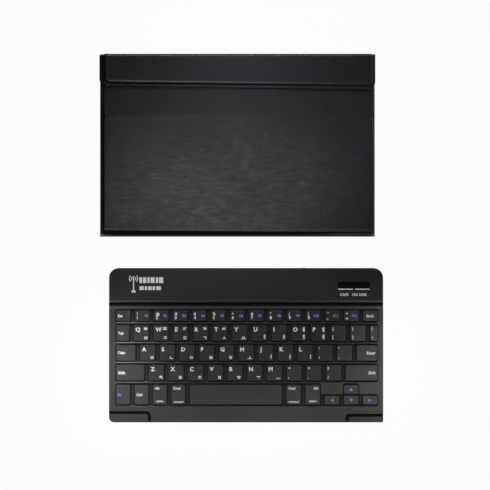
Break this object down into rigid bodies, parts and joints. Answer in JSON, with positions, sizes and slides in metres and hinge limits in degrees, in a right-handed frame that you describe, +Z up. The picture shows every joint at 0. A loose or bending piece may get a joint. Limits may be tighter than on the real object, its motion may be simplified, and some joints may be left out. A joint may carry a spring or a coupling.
{
  "type": "tablet keyboard case",
  "caption": "Black leather folio case for a tablet, shut by a magnetic flap, with its slim wireless keyboard laid beside it.",
  "frame": {"origin": "on the table, under the middle of the box round the shut case and the keyboard beside it", "axes": "+X to the right as the keys are read, +Y from the keyboard to the case, +Z up from the table"},
  "size_m": [0.283, 0.3676, 0.0254],
  "materials": {
    "case_leather": "black split leather, fine grain, soft sheen",
    "case_lining": "black brushed lining cloth",
    "stiff_board": "grey-brown stiffening board",
    "steel": "plain steel and plated magnets",
    "socket_steel": "pressed steel shell",
    "holder_plastic": "black moulded, fine texture",
    "keyboard_plastic": "black moulded, fine texture",
    "keycap_plastic": "dark grey moulded keycaps",
    "membrane_film": "black printed film",
    "dome_rubber": "pale silicone",
    "scissor_plastic": "black moulded frames",
    "board_laminate": "green lacquered laminate",
    "cell_foil": "foil pouch",
    "switch_plastic": "black moulded",
    "window_plastic": "smoked glossy",
    "lamp_plastic": "clear pale blue",
    "foot_rubber": "black rubber"
  },
  "bodies": {
    "case_back": {"back_leather": "case_leather", "back_board": "stiff_board", "back_lining": "case_lining", "back_magnets": "steel", "corner_clips": "holder_plastic"},
    "spine": {"spine_leather": "case_leather", "spine_board": "stiff_board", "spine_lining": "case_lining"},
    "cover_lower": {"lower_leather": "case_leather", "lower_board": "stiff_board", "lower_lining": "case_lining", "tablet_shell": "holder_plastic"},
    "cover_upper": {"upper_leather": "case_leather", "upper_board": "stiff_board", "catch_plate": "steel"},
    "flap_strip": {"strip_leather": "case_leather", "strip_board": "stiff_board"},
    "flap": {"flap_leather": "case_leather", "flap_board": "stiff_board", "flap_magnets": "steel"},
    "keyboard": {"deck": "keyboard_plastic", "bottom_cover": "keyboard_plastic", "key_plate": "steel", "membrane": "membrane_film", "rubber_domes": "dome_rubber", "scissor_frames": "scissor_plastic", "circuit_board": "board_laminate", "battery": "cell_foil", "usb_socket": "socket_steel", "power_switch": "switch_plastic", "indicator_window": "window_plastic", "indicator_leds": "lamp_plastic", "keyboard_magnets": "steel", "rubber_feet": "foot_rubber", "case_screws": "steel"},
    "power_slider": {"power_slider": "switch_plastic"},
    "connect_button": {"connect_button": "switch_plastic"},
    "key_escape": {"key_escape": "keycap_plastic"},
    "key_backspace": {"key_backspace": "keycap_plastic"},
    "key_tab": {"key_tab": "keycap_plastic"},
    "key_backslash": {"key_backslash": "keycap_plastic"},
    "key_caps_lock": {"key_caps_lock": "keycap_plastic"},
    "key_enter": {"key_enter": "keycap_plastic"},
    "key_shift_left": {"key_shift_left": "keycap_plastic"},
    "key_shift_right": {"key_shift_right": "keycap_plastic"},
    "key_function": {"key_function": "keycap_plastic"},
    "key_control": {"key_control": "keycap_plastic"},
    "key_option": {"key_option": "keycap_plastic"},
    "key_command": {"key_command": "keycap_plastic"},
    "key_space": {"key_space": "keycap_plastic"},
    "key_command_right": {"key_command_right": "keycap_plastic"},
    "key_option_right": {"key_option_right": "keycap_plastic"},
    "key_left": {"key_left": "keycap_plastic"},
    "key_up": {"key_up": "keycap_plastic"},
    "key_down": {"key_down": "keycap_plastic"},
    "key_right": {"key_right": "keycap_plastic"},
    "number_keys": {"number_keys": "keycap_plastic"},
    "upper_keys": {"upper_keys": "keycap_plastic"},
    "home_keys": {"home_keys": "keycap_plastic"},
    "lower_keys": {"lower_keys": "keycap_plastic"}
  },
  "joints": [
    {"name": "spine_fold", "type": "hinge", "parent": "case_back", "child": "spine", "pos_m": [-0.0042, 0.0026, 0.0011], "axis": [1, 0, 0], "range_deg": [0, 90], "deforming": ["flap_leather", "flap_board", "flap_magnets"]},
    {"name": "cover_open", "type": "hinge", "parent": "spine", "child": "cover_lower", "pos_m": [-0.0042, 0.0026, 0.02175], "axis": [1, 0, 0], "range_deg": [0, 90], "deforming": ["flap_leather", "flap_board", "flap_magnets"]},
    {"name": "cover_crease", "type": "hinge", "parent": "cover_lower", "child": "cover_upper", "pos_m": [-0.0042, 0.1221, 0.02135], "axis": [-1, 0, 0], "range_deg": [-120, 0], "deforming": ["flap_leather", "flap_board", "flap_magnets"]},
    {"name": "flap_strip_fold", "type": "hinge", "parent": "case_back", "child": "flap_strip", "pos_m": [-0.0042, 0.1827, 0.0011], "axis": [-1, 0, 0], "range_deg": [0, 90]},
    {"name": "flap_open", "type": "hinge", "parent": "flap_strip", "child": "flap", "pos_m": [-0.0042, 0.1827, 0.02425], "axis": [-1, 0, 0], "range_deg": [0, 90]},
    {"name": "keyboard_lift_away", "type": "slide", "parent": "case_back", "child": "keyboard", "axis": [0, -1, 0], "range_m": [0, 0.2]},
    {"name": "power_slide", "type": "slide", "parent": "keyboard", "child": "power_slider", "axis": [-1, 0, 0], "range_m": [0, 0.0025]},
    {"name": "connect_press", "type": "slide", "parent": "keyboard", "child": "connect_button", "axis": [0, -1, 0], "range_m": [0, 0.0004], "stiffness_N_per_m": 300, "springref_m": -0.001},
    {"name": "key_escape_press", "type": "slide", "parent": "keyboard", "child": "key_escape", "axis": [0, 0, -1], "range_m": [0, 0.0012], "stiffness_N_per_m": 150, "springref_m": -0.002, "deforming": ["rubber_domes", "scissor_frames"]},
    {"name": "key_backspace_press", "type": "slide", "parent": "keyboard", "child": "key_backspace", "axis": [0, 0, -1], "range_m": [0, 0.0012], "stiffness_N_per_m": 150, "springref_m": -0.002, "deforming": ["rubber_domes", "scissor_frames"]},
    {"name": "key_tab_press", "type": "slide", "parent": "keyboard", "child": "key_tab", "axis": [0, 0, -1], "range_m": [0, 0.0012], "stiffness_N_per_m": 150, "springref_m": -0.002, "deforming": ["rubber_domes", "scissor_frames"]},
    {"name": "key_backslash_press", "type": "slide", "parent": "keyboard", "child": "key_backslash", "axis": [0, 0, -1], "range_m": [0, 0.0012], "stiffness_N_per_m": 150, "springref_m": -0.002, "deforming": ["rubber_domes", "scissor_frames"]},
    {"name": "key_caps_lock_press", "type": "slide", "parent": "keyboard", "child": "key_caps_lock", "axis": [0, 0, -1], "range_m": [0, 0.0012], "stiffness_N_per_m": 150, "springref_m": -0.002, "deforming": ["rubber_domes", "scissor_frames"]},
    {"name": "key_enter_press", "type": "slide", "parent": "keyboard", "child": "key_enter", "axis": [0, 0, -1], "range_m": [0, 0.0012], "stiffness_N_per_m": 150, "springref_m": -0.002, "deforming": ["rubber_domes", "scissor_frames"]},
    {"name": "key_shift_left_press", "type": "slide", "parent": "keyboard", "child": "key_shift_left", "axis": [0, 0, -1], "range_m": [0, 0.0012], "stiffness_N_per_m": 150, "springref_m": -0.002, "deforming": ["rubber_domes", "scissor_frames"]},
    {"name": "key_shift_right_press", "type": "slide", "parent": "keyboard", "child": "key_shift_right", "axis": [0, 0, -1], "range_m": [0, 0.0012], "stiffness_N_per_m": 150, "springref_m": -0.002, "deforming": ["rubber_domes", "scissor_frames"]},
    {"name": "key_function_press", "type": "slide", "parent": "keyboard", "child": "key_function", "axis": [0, 0, -1], "range_m": [0, 0.0012], "stiffness_N_per_m": 150, "springref_m": -0.002, "deforming": ["rubber_domes", "scissor_frames"]},
    {"name": "key_control_press", "type": "slide", "parent": "keyboard", "child": "key_control", "axis": [0, 0, -1], "range_m": [0, 0.0012], "stiffness_N_per_m": 150, "springref_m": -0.002, "deforming": ["rubber_domes", "scissor_frames"]},
    {"name": "key_option_press", "type": "slide", "parent": "keyboard", "child": "key_option", "axis": [0, 0, -1], "range_m": [0, 0.0012], "stiffness_N_per_m": 150, "springref_m": -0.002, "deforming": ["rubber_domes", "scissor_frames"]},
    {"name": "key_command_press", "type": "slide", "parent": "keyboard", "child": "key_command", "axis": [0, 0, -1], "range_m": [0, 0.0012], "stiffness_N_per_m": 150, "springref_m": -0.002, "deforming": ["rubber_domes", "scissor_frames"]},
    {"name": "key_space_press", "type": "slide", "parent": "keyboard", "child": "key_space", "axis": [0, 0, -1], "range_m": [0, 0.0012], "stiffness_N_per_m": 150, "springref_m": -0.002, "deforming": ["rubber_domes", "scissor_frames"]},
    {"name": "key_command_right_press", "type": "slide", "parent": "keyboard", "child": "key_command_right", "axis": [0, 0, -1], "range_m": [0, 0.0012], "stiffness_N_per_m": 150, "springref_m": -0.002, "deforming": ["rubber_domes", "scissor_frames"]},
    {"name": "key_option_right_press", "type": "slide", "parent": "keyboard", "child": "key_option_right", "axis": [0, 0, -1], "range_m": [0, 0.0012], "stiffness_N_per_m": 150, "springref_m": -0.002, "deforming": ["rubber_domes", "scissor_frames"]},
    {"name": "key_left_press", "type": "slide", "parent": "keyboard", "child": "key_left", "axis": [0, 0, -1], "range_m": [0, 0.0012], "stiffness_N_per_m": 150, "springref_m": -0.002, "deforming": ["rubber_domes", "scissor_frames"]},
    {"name": "key_up_press", "type": "slide", "parent": "keyboard", "child": "key_up", "axis": [0, 0, -1], "range_m": [0, 0.0012], "stiffness_N_per_m": 150, "springref_m": -0.002, "deforming": ["rubber_domes", "scissor_frames"]},
    {"name": "key_down_press", "type": "slide", "parent": "keyboard", "child": "key_down", "axis": [0, 0, -1], "range_m": [0, 0.0012], "stiffness_N_per_m": 150, "springref_m": -0.002, "deforming": ["rubber_domes", "scissor_frames"]},
    {"name": "key_right_press", "type": "slide", "parent": "keyboard", "child": "key_right", "axis": [0, 0, -1], "range_m": [0, 0.0012], "stiffness_N_per_m": 150, "springref_m": -0.002, "deforming": ["rubber_domes", "scissor_frames"]},
    {"name": "number_keys_press", "type": "slide", "parent": "keyboard", "child": "number_keys", "axis": [0, 0, -1], "range_m": [0, 0.0012], "stiffness_N_per_m": 1800, "springref_m": -0.002, "deforming": ["rubber_domes", "scissor_frames"]},
    {"name": "upper_keys_press", "type": "slide", "parent": "keyboard", "child": "upper_keys", "axis": [0, 0, -1], "range_m": [0, 0.0012], "stiffness_N_per_m": 1800, "springref_m": -0.002, "deforming": ["rubber_domes", "scissor_frames"]},
    {"name": "home_keys_press", "type": "slide", "parent": "keyboard", "child": "home_keys", "axis": [0, 0, -1], "range_m": [0, 0.0012], "stiffness_N_per_m": 1650, "springref_m": -0.002, "deforming": ["rubber_domes", "scissor_frames"]},
    {"name": "lower_keys_press", "type": "slide", "parent": "keyboard", "child": "lower_keys", "axis": [0, 0, -1], "range_m": [0, 0.0012], "stiffness_N_per_m": 1500, "springref_m": -0.002, "deforming": ["rubber_domes", "scissor_frames"]}
  ]
}
